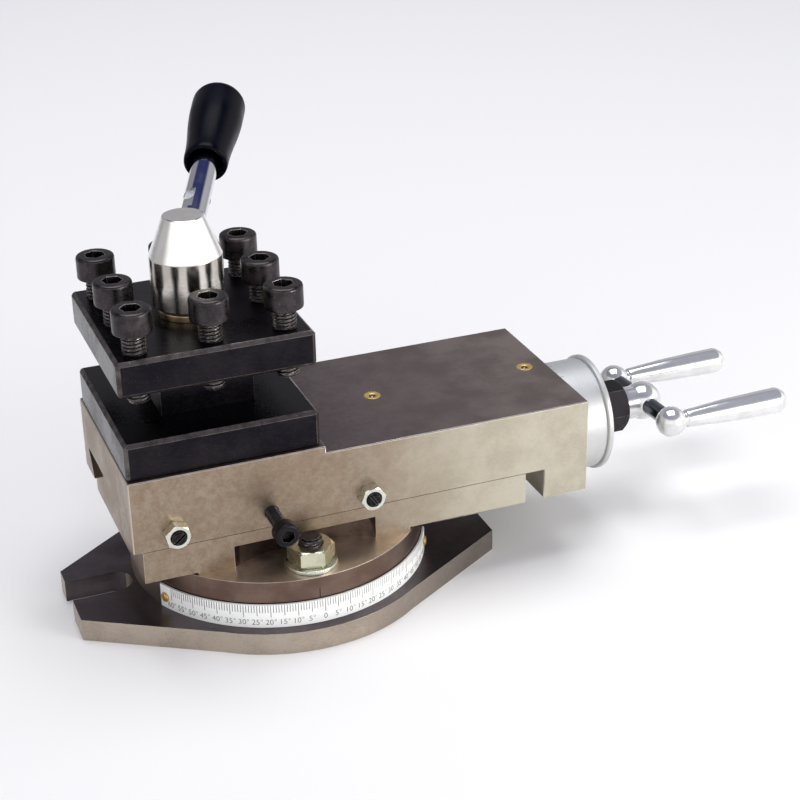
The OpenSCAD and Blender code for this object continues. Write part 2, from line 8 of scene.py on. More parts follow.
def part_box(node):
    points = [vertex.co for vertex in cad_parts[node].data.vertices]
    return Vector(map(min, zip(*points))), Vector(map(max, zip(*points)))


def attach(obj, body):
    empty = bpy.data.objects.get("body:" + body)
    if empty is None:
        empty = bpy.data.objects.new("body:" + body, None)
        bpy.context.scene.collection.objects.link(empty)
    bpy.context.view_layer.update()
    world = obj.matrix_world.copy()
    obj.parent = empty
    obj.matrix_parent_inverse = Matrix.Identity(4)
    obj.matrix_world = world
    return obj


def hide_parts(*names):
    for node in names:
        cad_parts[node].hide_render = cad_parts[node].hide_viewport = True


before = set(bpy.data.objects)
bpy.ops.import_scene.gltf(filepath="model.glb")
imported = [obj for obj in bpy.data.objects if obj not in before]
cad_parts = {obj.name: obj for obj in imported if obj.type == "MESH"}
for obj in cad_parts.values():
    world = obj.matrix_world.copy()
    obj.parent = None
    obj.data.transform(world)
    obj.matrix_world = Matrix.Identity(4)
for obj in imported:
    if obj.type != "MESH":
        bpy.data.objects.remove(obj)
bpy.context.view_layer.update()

MM = 0.001
ROUND_STEPS = 96  # sides of a full turn on a plain round piece
HEX_TURN = math.radians(60)
WORN = 1  # place of the rubbed-edge material in a piece's list of materials
SOFT_EDGE = 38  # degrees: edges that bend more are shaded sharp, unless a piece says otherwise
SCREW_EDGE = 30
CRISP_EDGE = 24  # for nuts and the dial
MARK_LIFT = 0.03  # how far a painted mark stands out of its surface
MARK_ROOT = 0.02  # how deep it starts below the surface
M8_PITCH = 1.25
M5_PITCH = 0.8
FEED_PITCH = 1.0
WORLD_FRONT = (1.25, 1.25, 1.25, 1)
WORLD_SIDE = (0.42, 0.41, 0.42, 1)
WORLD_BACK = (0.29, 0.28, 0.30, 1)
WORLD_TOP = (0.03, 0.038, 0.12, 1)


def node_box(node):
    """Lowest and highest corner of a CAD node, in millimetres."""
    low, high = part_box(node)
    return Vector(low) / MM, Vector(high) / MM


def node_middle(node):
    low, high = node_box(node)
    return (low + high) / 2


POST_X = node_middle("hub_washer").x
SCREW_Z = node_middle("dial_ring").z
DISC_TOP = node_box("t_bolt_washers")[0].z
STRIP_LOW, STRIP_HIGH = (corner.z for corner in node_box("degree_scale"))


def add_object(name, data):
    """Puts a camera, light, mesh or text into the scene."""
    made = bpy.data.objects.new(name, data)
    bpy.context.scene.collection.objects.link(made)
    return made


# ---------------------------------------------------------------- camera, floor and light

def place_camera():
    data = bpy.data.cameras.new("camera")
    data.sensor_width = 36
    data.lens = 79.69
    data.clip_end = 50
    camera = add_object("camera", data)
    camera.location = (-0.15633, -0.53053, 0.33475)
    camera.rotation_euler = [math.radians(angle) for angle in (63.99, 1.01, -21.61)]
    bpy.context.scene.camera = camera


def area_light(name, position, target, size, watts, colour=(1, 1, 1)):
    data = bpy.data.lights.new(name, "AREA")
    data.shape = "RECTANGLE"
    data.size, data.size_y = size
    data.energy = watts
    data.color = colour
    light = add_object(name, data)
    light.location = position
    light.rotation_euler = (Vector(target) - Vector(position)).to_track_quat("-Z", "Y").to_euler()


def make_floor():
    mesh = bpy.data.meshes.new("floor")
    half = 6.0
    mesh.from_pydata([(-half, -half, 0), (half, -half, 0), (half, half, 0), (-half, half, 0)], [],
                     [(0, 1, 2, 3)])
    floor = add_object("floor", mesh)
    paper = bpy.data.materials.new("floor_paper")
    paper.use_nodes = True
    shader = paper.node_tree.nodes["Principled BSDF"]
    shader.inputs["Base Color"].default_value = (0.95, 0.945, 0.93, 1)
    shader.inputs["Roughness"].default_value = 0.8
    shader.inputs["Specular IOR Level"].default_value = 0.2
    mesh.materials.append(paper)


def make_world():
    """Surroundings for the reflections: white in front, grey beside and behind, dark blue overhead."""
    world = bpy.data.worlds.new("studio")
    bpy.context.scene.world = world
    world.use_nodes = True
    tree = world.node_tree
    direction = tree.nodes.new("ShaderNodeTexCoord").outputs["Generated"]

    def shade(value, low, high, low_colour, high_colour):
        """Goes from one colour to another as a value goes from low to high. A colour may be a socket."""
        spread = tree.nodes.new("ShaderNodeMapRange")
        spread.interpolation_type = "SMOOTHSTEP"
        spread.inputs["From Min"].default_value = low
        spread.inputs["From Max"].default_value = high
        tree.links.new(value, spread.inputs["Value"])
        mix = tree.nodes.new("ShaderNodeMix")
        mix.data_type = "RGBA"
        tree.links.new(spread.outputs["Result"], mix.inputs["Factor"])
        for key, colour in (("A", low_colour), ("B", high_colour)):
            if isinstance(colour, tuple):
                mix.inputs[key].default_value = colour
            else:
                tree.links.new(colour, mix.inputs[key])
        return mix.outputs["Result"]

    front = tree.nodes.new("ShaderNodeVectorMath")
    front.operation = "DOT_PRODUCT"
    front.inputs[1].default_value = (0.2, -0.98, 0)
    tree.links.new(direction, front.inputs[0])
    height = tree.nodes.new("ShaderNodeSeparateXYZ")
    tree.links.new(direction, height.inputs[0])
    behind = shade(front.outputs["Value"], -0.95, -0.6, WORLD_BACK, WORLD_SIDE)
    around = shade(front.outputs["Value"], -0.3, 0.15, behind, WORLD_FRONT)
    sky = shade(height.outputs["Z"], 0.5, 0.66, around, WORLD_TOP)
    tree.links.new(sky, tree.nodes["Background"].inputs["Color"])


def make_studio():
    make_floor()
    make_world()
    aim = (0.03, 0, 0.05)
    area_light("overhead", (0.1, 0.25, 2.0), aim, (1.5, 1.5), 30)
    area_light("right_box", (0.5, -0.6, 0.22), aim, (0.4, 0.3), 2.6, (1, 0.98, 0.96))
    bpy.context.scene.view_settings.view_transform = "Standard"


# ---------------------------------------------------------------- materials

def tone(red, green, blue):
    """A display colour, 0 to 255, as the linear colour the shader wants."""
    return tuple((c / 255) ** 2.2 for c in (red, green, blue)) + (1.0,)


class Graph:
    """Short names for making and linking the nodes of one material."""

    def __init__(self, name):
        self.material = bpy.data.materials.new(name)
        self.material.use_nodes = True
        self.tree = self.material.node_tree
        self.shader = self.tree.nodes["Principled BSDF"]
        self.place = self.node("ShaderNodeTexCoord").outputs["Object"]

    def node(self, kind, **settings):
        made = self.tree.nodes.new(kind)
        for key, value in settings.items():
            setattr(made, key, value)
        return made

    def feed(self, socket, value):
        if isinstance(value, bpy.types.NodeSocket):
            self.tree.links.new(value, socket)
        else:
            socket.default_value = value

    def stretched(self, scale):
        """The piece's own coordinates, scaled per axis."""
        made = self.node("ShaderNodeMapping")
        self.feed(made.inputs["Vector"], self.place)
        made.inputs["Scale"].default_value = scale
        return made.outputs["Vector"]

    def noise(self, vector, size_mm, detail=3.0, roughness=0.55):
        """Noise from about 0 to 1 with blobs of about this size."""
        made = self.node("ShaderNodeTexNoise")
        self.feed(made.inputs["Vector"], vector)
        made.inputs["Scale"].default_value = 1 / (size_mm * MM)
        made.inputs["Detail"].default_value = detail
        made.inputs["Roughness"].default_value = roughness
        return made.outputs["Fac"]

    def spread(self, value, low, high, to_low=0.0, to_high=1.0):
        """Stretches low..high to to_low..to_high and holds the ends."""
        made = self.node("ShaderNodeMapRange", interpolation_type="SMOOTHSTEP")
        self.feed(made.inputs["Value"], value)
        ends = {"From Min": low, "From Max": high, "To Min": to_low, "To Max": to_high}
        for key, number in ends.items():
            made.inputs[key].default_value = number
        return made.outputs["Result"]

    def maths(self, operation, first, second):
        made = self.node("ShaderNodeMath", operation=operation)
        self.feed(made.inputs[0], first)
        self.feed(made.inputs[1], second)
        return made.outputs["Value"]

    def blend(self, share, first, second):
        made = self.node("ShaderNodeMix", data_type="RGBA")
        self.feed(made.inputs["Factor"], share)
        self.feed(made.inputs["A"], first)
        self.feed(made.inputs["B"], second)
        return made.outputs["Result"]

    def edges(self, width_mm):
        """About 1 on edges that stand out and on inside corners, and 0 on flat faces."""
        soft = self.node("ShaderNodeBevel", samples=6)
        soft.inputs["Radius"].default_value = width_mm * MM
        true = self.node("ShaderNodeNewGeometry")
        dot = self.node("ShaderNodeVectorMath", operation="DOT_PRODUCT")
        self.feed(dot.inputs[0], soft.outputs["Normal"])
        self.feed(dot.inputs[1], true.outputs["Normal"])
        return self.spread(dot.outputs["Value"], 0.985, 0.86)

    def turned(self, axis, centre_mm):
        """Coordinates that only change with the distance from an axis and along it, for turned faces."""
        shifted = self.node("ShaderNodeVectorMath", operation="SUBTRACT")
        self.feed(shifted.inputs[0], self.place)
        shifted.inputs[1].default_value = [c * MM for c in centre_mm]
        split = self.node("ShaderNodeSeparateXYZ")
        self.feed(split.inputs[0], shifted.outputs["Vector"])
        across = [name for name in "XYZ" if name != axis]
        flat = self.node("ShaderNodeCombineXYZ")
        self.feed(flat.inputs["X"], split.outputs[across[0]])
        self.feed(flat.inputs["Y"], split.outputs[across[1]])
        length = self.node("ShaderNodeVectorMath", operation="LENGTH")
        self.feed(length.inputs[0], flat.outputs["Vector"])
        both = self.node("ShaderNodeCombineXYZ")
        self.feed(both.inputs["X"], length.outputs["Value"])
        self.feed(both.inputs["Y"], split.outputs[axis])
        return both.outputs["Vector"]


def surface(name, colour, stain, gloss, metallic=1.0, blotch_mm=14, grain=(1, 1, 1), grain_mm=0.5,
            relief_mm=0.004, wear=None, wear_mm=0.5, wear_share=0.8, specks=0.0, speck_tone=None,
            speck_mm=0.9, lathe=None, shine=0.5, smudge=0.5, painted_x_shade=None):
    """A used surface: two tones in blotches, grain stretched along its machining marks, small specks,
    and edges rubbed to another tone. gloss gives the least and the most roughness. The last argument
    gives a darker tone, painted shade, that fades out between two places along X."""
    g = Graph(name)
    blotches = g.spread(g.noise(g.place, blotch_mm, 4.0), 0.35, 0.68)
    grain_place = g.turned(*lathe) if lathe else g.stretched(grain)
    fine = g.noise(grain_place, grain_mm, 3.0, 0.6)
    share = g.maths("MULTIPLY", blotches, smudge)
    share = g.maths("ADD", share, g.spread(fine, 0.3, 0.8, -0.12, 0.22))
    look = g.blend(share, colour, stain)
    # Painted shade: a darker tone over one end of the piece, fading out along X.
    if painted_x_shade:
        full, gone, shade_tone = painted_x_shade
        across = g.node("ShaderNodeSeparateXYZ")
        g.feed(across.inputs[0], g.place)
        amount = g.spread(across.outputs["X"], full * MM, gone * MM, 1.0, 0.0)
        patchy = g.spread(g.noise(g.place, 2.4, 5.0, 0.7), 0.3, 0.7, 1.0, 0.74)
        look = g.blend(g.maths("MULTIPLY", amount, patchy), look, shade_tone)
    if specks:
        dots = g.spread(g.noise(g.place, speck_mm, 2.0, 0.5), 0.7, 0.78, 0.0, specks)
        look = g.blend(dots, look, speck_tone or stain)
    rough = g.spread(g.maths("ADD", fine, g.maths("MULTIPLY", blotches, 0.6)), 0.3, 1.2, *gloss)
    if wear:
        rubbed = g.spread(g.noise(g.place, 2.2, 4.0, 0.7), 0.3, 0.62, 0.25, 1.0)
        edge = g.maths("MULTIPLY", g.edges(wear_mm), rubbed)
        edge = g.maths("MULTIPLY", edge, wear_share)
        look = g.blend(edge, look, wear)
    g.feed(g.shader.inputs["Base Color"], look)
    g.feed(g.shader.inputs["Roughness"], rough)
    g.shader.inputs["Metallic"].default_value = metallic
    g.shader.inputs["Specular IOR Level"].default_value = shine
    bump = g.node("ShaderNodeBump")
    bump.inputs["Strength"].default_value = 1.0
    bump.inputs["Distance"].default_value = relief_mm * MM
    g.feed(bump.inputs["Height"], fine)
    g.feed(g.shader.inputs["Normal"], bump.outputs["Normal"])
    return g.material


def make_materials():
    along_x = (0.4, 1, 1)
    bare, bare_stain = tone(196, 189, 171), tone(171, 163, 146)
    # The tone of the painted shade over the slides' left end.
    slide_end_shade = tone(138, 119, 101)
    post_axis = ("Z", (POST_X, 0, 0))
    crank_axis = ("X", (0, 0, SCREW_Z))
    return {
        # The tone given last is painted shade, darker towards the base's right end (+X).
        "base": surface(
            "base_cast_iron", tone(182, 170, 156), tone(142, 129, 119), (0.3, 0.48),
            grain=(0.3, 1, 1), grain_mm=0.5, relief_mm=0.006, specks=0.6, speck_mm=0.7,
            speck_tone=tone(84, 74, 72), blotch_mm=20, painted_x_shade=(60, 5, tone(134, 126, 120))),
        # A darker copy of the base for its top faces and slot walls: painted shade.
        "base_top": surface(
            "base_top_painted_shade", tone(106, 98, 100), tone(84, 77, 80), (0.28, 0.42), grain=(0.3, 1, 1),
            grain_mm=0.6, relief_mm=0.004, specks=0.4, speck_mm=0.7, speck_tone=tone(132, 120, 112),
            blotch_mm=16, smudge=0.8),
        "base_edge": surface(
            "base_rubbed_edge", tone(226, 216, 200), tone(170, 156, 144), (0.28, 0.42), grain_mm=0.6,
            blotch_mm=3, smudge=0.9),
        # The tone given last is painted shade, browner and darker towards the left end (-X).
        "slide": surface(
            "ground_slide_steel", bare, bare_stain, (0.3, 0.44), metallic=0.85, grain=along_x,
            grain_mm=0.42, relief_mm=0.005, specks=0.5, speck_mm=0.5, speck_tone=tone(110, 96, 86),
            smudge=0.75, blotch_mm=14, painted_x_shade=(5, 80, slide_end_shade)),
        # A darker copy of the slide steel for its top faces: painted shade. The tone given last adds more
        # painted shade towards the left end (-X).
        "slide_top": surface(
            "slide_top_painted_shade", tone(172, 158, 152), tone(132, 119, 115), (0.3, 0.42), grain=along_x,
            grain_mm=0.45, relief_mm=0.005, specks=0.5, speck_mm=0.6, speck_tone=tone(92, 82, 80),
            blotch_mm=18, smudge=1.0, painted_x_shade=(-20, 110, tone(98, 88, 90))),
        # Rubbed edges, with painted shade over them as well, darker towards the left end (-X).
        "slide_edge": surface(
            "slide_rubbed_edge_and_shade", tone(220, 212, 200), bare, (0.28, 0.4), grain_mm=0.5, blotch_mm=3,
            smudge=0.8, painted_x_shade=(-5, 45, tone(196, 182, 166))),
        "grime": surface(
            "oily_grime", tone(34, 30, 28), tone(50, 44, 40), (0.4, 0.6), metallic=0.3, blotch_mm=4,
            grain_mm=0.6),
        # A darker copy of the slide steel for the faces inside the dovetail groove: painted shade.
        "recess": surface(
            "groove_painted_shade", tone(112, 98, 88), tone(84, 72, 64), (0.3, 0.45), grain_mm=0.6,
            blotch_mm=8, specks=0.3, smudge=0.8),
        # A darker copy of the slide steel for the faces down in the pocket: painted shade.
        "pocket": surface(
            "pocket_painted_shade", tone(106, 93, 86), tone(76, 66, 62), (0.28, 0.42), grain_mm=0.6,
            blotch_mm=6, specks=0.4, smudge=0.9),
        "disc": surface(
            "turned_disc_steel", tone(232, 217, 200), tone(180, 162, 146), (0.28, 0.42),
            lathe=("Z", (0, 0, 0)), grain_mm=0.5, relief_mm=0.008, specks=0.25, blotch_mm=12,
            smudge=0.8),
        "disc_rim": surface(
            "turned_disc_rim", tone(120, 101, 91), tone(98, 79, 70), (0.28, 0.42),
            lathe=("Z", (0, 0, 0)), grain_mm=0.4, relief_mm=0.006, specks=0.3, blotch_mm=12,
            smudge=0.8),
        "ground": surface(
            "fine_ground_steel", tone(200, 196, 188), tone(160, 152, 144), (0.25, 0.4), grain=along_x,
            grain_mm=0.6),
        "black_steel": surface(
            "black_oxide_steel", tone(30, 30, 34), tone(50, 46, 46), (0.3, 0.48), metallic=0.85,
            grain_mm=0.9, relief_mm=0.005, wear=tone(140, 130, 122), wear_mm=0.35, wear_share=0.75),
        "screw": surface(
            "black_screw_steel", tone(56, 53, 55), tone(88, 80, 80), (0.24, 0.42), metallic=0.92,
            blotch_mm=3, grain_mm=0.6, relief_mm=0.01, wear=tone(226, 220, 214), wear_mm=0.5,
            wear_share=1.0, specks=0.9, speck_mm=0.5, speck_tone=tone(150, 142, 138)),
        "post": surface(
            "black_oxide_post", tone(30, 29, 34), tone(50, 45, 48), (0.22, 0.36), metallic=0.9,
            shine=0.4, grain=(0.5, 1, 1), grain_mm=0.9, blotch_mm=18, relief_mm=0.004, specks=0.5,
            speck_mm=0.7, speck_tone=tone(104, 94, 88)),
        "post_edge": surface(
            "post_rubbed_edge", tone(104, 98, 96), tone(64, 59, 58), (0.28, 0.46), metallic=0.95,
            blotch_mm=4, grain_mm=0.6, relief_mm=0.008, smudge=0.9, specks=0.9, speck_mm=1.0,
            speck_tone=tone(222, 214, 202)),
        "zinc": surface(
            "zinc_plate", tone(218, 220, 208), tone(184, 186, 168), (0.2, 0.34), blotch_mm=5,
            grain_mm=0.6, relief_mm=0.004, wear=tone(246, 246, 240), wear_mm=0.4),
        "yellow_zinc": surface(
            "yellow_zinc_plate", tone(210, 209, 184), tone(170, 167, 134), (0.2, 0.34), blotch_mm=5,
            grain_mm=0.6, relief_mm=0.004, wear=tone(246, 246, 232), wear_mm=0.4),
        "bronze": surface(
            "bronze", tone(206, 184, 146), tone(170, 146, 108), (0.24, 0.4), blotch_mm=5,
            lathe=post_axis, grain_mm=0.4, wear=tone(236, 222, 190), wear_mm=0.3),
        "brass": surface(
            "brass", tone(216, 184, 108), tone(178, 148, 82), (0.32, 0.48), blotch_mm=2, metallic=0.7,
            grain_mm=0.4, wear=tone(246, 226, 170), wear_mm=0.25),
        "hub": surface(
            "polished_hub_steel", tone(208, 203, 195), tone(172, 165, 153), (0.14, 0.24),
            lathe=post_axis, grain_mm=0.28, relief_mm=0.02, wear=tone(250, 248, 244), wear_mm=0.3,
            blotch_mm=8),
        "hub_cone": surface(
            "polished_cone_steel", tone(250, 249, 246), tone(232, 230, 224), (0.07, 0.16),
            metallic=0.88, lathe=post_axis, grain_mm=0.28, relief_mm=0.02, blotch_mm=8),
        "aluminium": surface(
            "satin_aluminium", tone(204, 205, 205), tone(188, 189, 190), (0.38, 0.5), metallic=0.6,
            lathe=crank_axis, grain_mm=0.4, relief_mm=0.004, wear=tone(244, 244, 246), wear_mm=0.3),
        "strip": surface(
            "scale_strip", tone(250, 251, 249), tone(240, 242, 239), (0.36, 0.5), metallic=0.0,
            grain_mm=0.7, relief_mm=0.002, wear=tone(196, 198, 190), wear_mm=0.2, wear_share=0.6),
        "ink": surface(
            "engraving_ink", tone(84, 82, 80), tone(118, 114, 108), (0.5, 0.7), metallic=0.0,
            blotch_mm=6, grain_mm=0.5, relief_mm=0.001),
        "arm": surface(
            "dark_polished_steel", tone(112, 114, 122), tone(84, 84, 92), (0.1, 0.22), blotch_mm=6,
            grain_mm=0.6, relief_mm=0.002, wear=tone(220, 220, 224)),
        "chrome": surface(
            "chrome", tone(232, 234, 238), tone(220, 222, 228), (0.05, 0.12), blotch_mm=9,
            grain_mm=1.2, relief_mm=0.0012, wear=tone(250, 250, 252), wear_mm=0.3),
        "satin_chrome": surface(
            "satin_chrome", tone(230, 230, 230), tone(214, 214, 215), (0.08, 0.18), metallic=0.66,
            blotch_mm=5, grain_mm=0.7, relief_mm=0.002, smudge=0.8),
        "plastic": surface(
            "grip_plastic", tone(4, 4, 18), tone(7, 7, 24), (0.28, 0.38), metallic=0.0, blotch_mm=7,
            grain_mm=1.4, relief_mm=0.003, shine=0.09, wear=tone(30, 30, 40), wear_mm=0.4,
            wear_share=0.5),
    }


# ---------------------------------------------------------------- mesh building

def z_turn(degrees):
    return Matrix.Rotation(math.radians(degrees), 4, "Z")


def place_along(origin, direction, spin=0.0):
    """Puts local Z along a direction, starting at an origin in millimetres."""
    turn = Vector(direction).normalized().to_track_quat("Z", "Y").to_matrix().to_4x4()
    return Matrix.Translation(origin) @ turn @ z_turn(spin)


def hex_reach(apothem, angle):
    """Distance from the middle of a hexagon to its side in one direction."""
    return apothem / math.cos((angle + HEX_TURN / 2) % HEX_TURN - HEX_TURN / 2)


def rounded(points, steps=4):
    """Bends the corners of an outline of (radius, height) points. A third number in a point is how far
    from the corner the bend starts, up to nearly half of the shorter side beside it."""
    most_of_side = 0.49
    result = [tuple(points[0][:2])]
    for before, corner, after in zip(points, points[1:], points[2:]):
        middle = Vector(corner[:2])
        if len(corner) < 3:
            result.append(tuple(middle))
            continue
        back, ahead = Vector(before[:2]) - middle, Vector(after[:2]) - middle
        reach = min(corner[2], back.length * most_of_side, ahead.length * most_of_side)
        start, end = middle + back.normalized() * reach, middle + ahead.normalized() * reach
        for step in range(steps + 1):
            t = step / steps
            result.append(tuple(start * (1 - t) ** 2 + middle * 2 * t * (1 - t) + end * t ** 2))
    result.append(tuple(points[-1][:2]))
    return result


def ball_profile(radius, steps, middle=0.0):
    """Outline of a ball whose middle is at this height."""
    turns = [math.pi * k / steps for k in range(steps + 1)]
    return [(radius * math.sin(turn), middle - radius * math.cos(turn)) for turn in turns]


def join_rings(bm, low, high):
    """Puts faces between two rings of points. A ring may be a single point."""
    if len(low) == 1 and len(high) == 1:
        return
    count = max(len(low), len(high))
    for k in range(count):
        n = (k + 1) % count
        if len(low) == 1:
            bm.faces.new((low[0], high[n], high[k]))
        elif len(high) == 1:
            bm.faces.new((low[k], low[n], high[0]))
        else:
            bm.faces.new((low[k], low[n], high[n], high[k]))


def ring(bm, place, height, reaches):
    """Points spread evenly round local Z, each at its own reach."""
    points = []
    for k, reach in enumerate(reaches):
        angle = 2 * math.pi * k / len(reaches)
        spoke = Vector((reach * math.cos(angle), reach * math.sin(angle), height))
        points.append(bm.verts.new(place @ spoke))
    return points


def revolve(bm, profile, place=Matrix(), steps=ROUND_STEPS, closed=False):
    """Turns a profile of (radius, height) points round local Z. A third number makes that ring a hexagon
    of that apothem wherever the hexagon lies inside the radius."""
    on_axis = 1e-6
    rings = []
    for radius, height, *apothem in profile:
        if radius < on_axis:
            reaches = [0]
        elif apothem:
            reaches = [min(radius, hex_reach(apothem[0], 2 * math.pi * k / steps)) for k in range(steps)]
        else:
            reaches = [radius] * steps
        rings.append(ring(bm, place, height, reaches))
    for low, high in zip(rings, rings[1:]):
        join_rings(bm, low, high)
    if closed:
        join_rings(bm, rings[-1], rings[0])


def threaded_rod(bm, radius, bottom, top, pitch, place=Matrix(), steps=36, thread_from=None):
    """A rod along local Z with a right-hand thread and chamfered ends. Above thread_from it is plain."""
    depth = 0.55 * pitch
    end_cut = 0.6 * pitch
    end_radius = radius - depth - 0.05
    thread_top = thread_from if thread_from is not None else top - end_cut
    thread_length = thread_top - bottom - end_cut
    rings_per_turn = 8
    count = max(2, int(thread_length / pitch * rings_per_turn))

    def thread_radius(k, height):
        """Rises and falls once a turn, with a flat crest, and runs out at the top of the thread."""
        fade = min(1.0, (thread_top - height) / pitch + 0.001)
        phase = (height / pitch - k / steps) % 1
        return radius - depth * fade * max(0.0, 1.3 * abs(2 * phase - 1) - 0.3)

    rings = [ring(bm, place, bottom, [0]), ring(bm, place, bottom, [end_radius] * steps)]
    for i in range(count + 1):
        height = bottom + end_cut + thread_length * i / count
        rings.append(ring(bm, place, height, [thread_radius(k, height) for k in range(steps)]))
    rings.append(ring(bm, place, top, [end_radius if thread_from is None else radius] * steps))
    rings.append(ring(bm, place, top, [0]))
    for low, high in zip(rings, rings[1:]):
        join_rings(bm, low, high)


def block(bm, low, high, place=Matrix()):
    """A box between two corners."""
    across_x, across_y, across_z = zip(low, high)
    corners = [Vector((x, y, z)) for z in across_z for y in across_y for x in across_x]
    v = [bm.verts.new(place @ corner) for corner in corners]
    for face in ((0, 2, 3, 1), (4, 5, 7, 6), (0, 1, 5, 4), (2, 6, 7, 3), (0, 4, 6, 2), (1, 3, 7, 5)):
        bm.faces.new([v[i] for i in face])


def round_edges(bm, width, material=-1):
    """Rounds the edges that stand out, by a width in millimetres, on a mesh that is already in metres.
    The new faces can have a material of their own."""
    limit = math.radians(28)
    sharp = [e for e in bm.edges if e.is_manifold and e.is_convex and e.calc_face_angle(0) > limit]
    bmesh.ops.bevel(bm, geom=sharp, offset=width * MM, offset_type="OFFSET", segments=2, profile=0.5,
                    affect="EDGES", clamp_overlap=True, material=material)


def even_shading(piece):
    """Shades corners mostly by their larger faces, so that flat faces beside a rounding look flat."""
    piece.modifiers.new("even_shading", "WEIGHTED_NORMAL").keep_sharp = True


def make_piece(name, bm, body, materials, stands_for=(), soft_edge=SOFT_EDGE, bevel=0.0, scale=MM):
    """Turns the mesh under construction into a piece that rides on a body and stands for CAD nodes.
    Where there is a second material, it goes on the rounded edges."""
    bmesh.ops.scale(bm, vec=(scale, scale, scale), verts=bm.verts)
    bmesh.ops.recalc_face_normals(bm, faces=bm.faces)
    if bevel:
        round_edges(bm, bevel, WORN if len(materials) > WORN else -1)
    mesh = bpy.data.meshes.new(name)
    bm.to_mesh(mesh)
    bm.free()
    for polygon in mesh.polygons:
        polygon.use_smooth = True
    mesh.set_sharp_from_angle(angle=math.radians(soft_edge))
    for material in materials:
        mesh.materials.append(material)
    piece = add_object(name, mesh)
    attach(piece, body)
    if stands_for:
        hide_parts(*stands_for)
    even_shading(piece)
    return piece


def cad_piece(node, name, body, materials, bevel=0.15, choose=None, seam=None, seam_material=0):
    """A copy of a CAD node's shape with its flat faces cleaned up and its edges rounded. choose tells
    from a face's middle, in millimetres, and its direction which of the materials it gets. seam tells
    from an edge's middle whether its rounding gets the seam's material, which is dirt on the lower slide
    and painted shade in the base's slots."""
    bm = bmesh.new()
    bm.from_mesh(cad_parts[node].data)
    bmesh.ops.remove_doubles(bm, verts=bm.verts, dist=0.002 * MM)
    bmesh.ops.dissolve_limit(bm, angle_limit=math.radians(0.5), verts=bm.verts, edges=bm.edges)
    bm.normal_update()
    for face in bm.faces:
        face.material_index = choose(face.calc_center_median() / MM, face.normal) if choose else 0
    piece = make_piece(name, bm, body, materials, [node], bevel=bevel, scale=1.0)
    if seam:
        for polygon in piece.data.polygons:
            if polygon.material_index == WORN and seam(polygon.center / MM):
                polygon.material_index = seam_material
    return piece


def chamfer(direction):
    """True for a face at 45 degrees to two or three of the axes."""
    return max(abs(part) for part in direction) < 0.75


def evaluated_mesh(piece):
    """A new mesh of a piece with its modifiers, or its text settings, worked in."""
    graph = bpy.context.evaluated_depsgraph_get()
    return bpy.data.meshes.new_from_object(piece.evaluated_get(graph))


def carve(piece, low, high, place=Matrix()):
    """Cuts a box out of a piece for good."""
    bm = bmesh.new()
    block(bm, low, high, place)
    bmesh.ops.scale(bm, vec=(MM, MM, MM), verts=bm.verts)
    bmesh.ops.recalc_face_normals(bm, faces=bm.faces)
    mesh = bpy.data.meshes.new("cutter")
    bm.to_mesh(mesh)
    bm.free()
    cutter = add_object("cutter", mesh)
    piece.modifiers.remove(piece.modifiers["even_shading"])
    cut = piece.modifiers.new("cut", "BOOLEAN")
    cut.object = cutter
    cut.solver = "EXACT"
    bpy.context.view_layer.update()
    result = evaluated_mesh(piece)
    piece.modifiers.clear()
    piece.data = result
    result.set_sharp_from_angle(angle=math.radians(SOFT_EDGE))
    even_shading(piece)
    bpy.data.objects.remove(cutter)


# ---------------------------------------------------------------- base and scale

def mark_sheet(bm, radius, angle, low, high, width, lift=MARK_LIFT):
    """A thin painted mark on an upright cylinder about Z, centred on an angle in degrees."""
    block(bm, (radius - MARK_ROOT, -width / 2, low), (radius + lift, width / 2, high), z_turn(angle))


def numeral(bm, text, size, radius, angle, height):
    """Thin solid figures wrapped on an upright cylinder about Z, read from outside."""
    data = bpy.data.curves.new("numeral", "FONT")
    data.body = text
    data.size = size
    data.align_x = "CENTER"
    data.extrude = (MARK_LIFT + MARK_ROOT) / 2
    data.offset = -0.03
    data.resolution_u = 3
    flat_text = add_object("numeral", data)
    mesh = evaluated_mesh(flat_text)
    bpy.data.objects.remove(flat_text)
    middle = math.radians(angle)
    for vertex in mesh.vertices:
        x, y, out = vertex.co
        turn = middle + x / radius
        reach = radius + out + data.extrude - MARK_ROOT
        vertex.co = (reach * math.cos(turn), reach * math.sin(turn), height + y)
    bm.from_mesh(mesh)
    bpy.data.meshes.remove(mesh)


def make_base(m):
    # The top faces, the slots' straight walls and the roundings along the slots get the darker top copy,
    # painted shade; the slots' round ends keep the lighter side tone.
    top_shade = 2
    slot_end_x, slot_half_w = 53, 6.6

    def finish(middle, direction):
        in_slot = abs(middle.x) > slot_end_x and abs(middle.y) < slot_half_w and abs(direction.z) < 0.5
        if in_slot:
            return top_shade if abs(direction.x) < 0.8 else 0
        return top_shade if direction.z > 0.7 else 0

    def seam(middle):
        return abs(middle.x) > slot_end_x and abs(middle.y) < slot_half_w + 0.7

    cad_piece("swivel_base", "base_casting", "base",
              [m["base"], m["base_edge"], m["base_top"]],
              bevel=0.3, choose=finish, seam=seam, seam_material=top_shade)


def mark_length(degree):
    """Long marks at the tens, middle ones at the fives, and short ones between."""
    if degree % 10 == 0:
        return 4.5
    return 3.9 if degree % 5 == 0 else 2.7


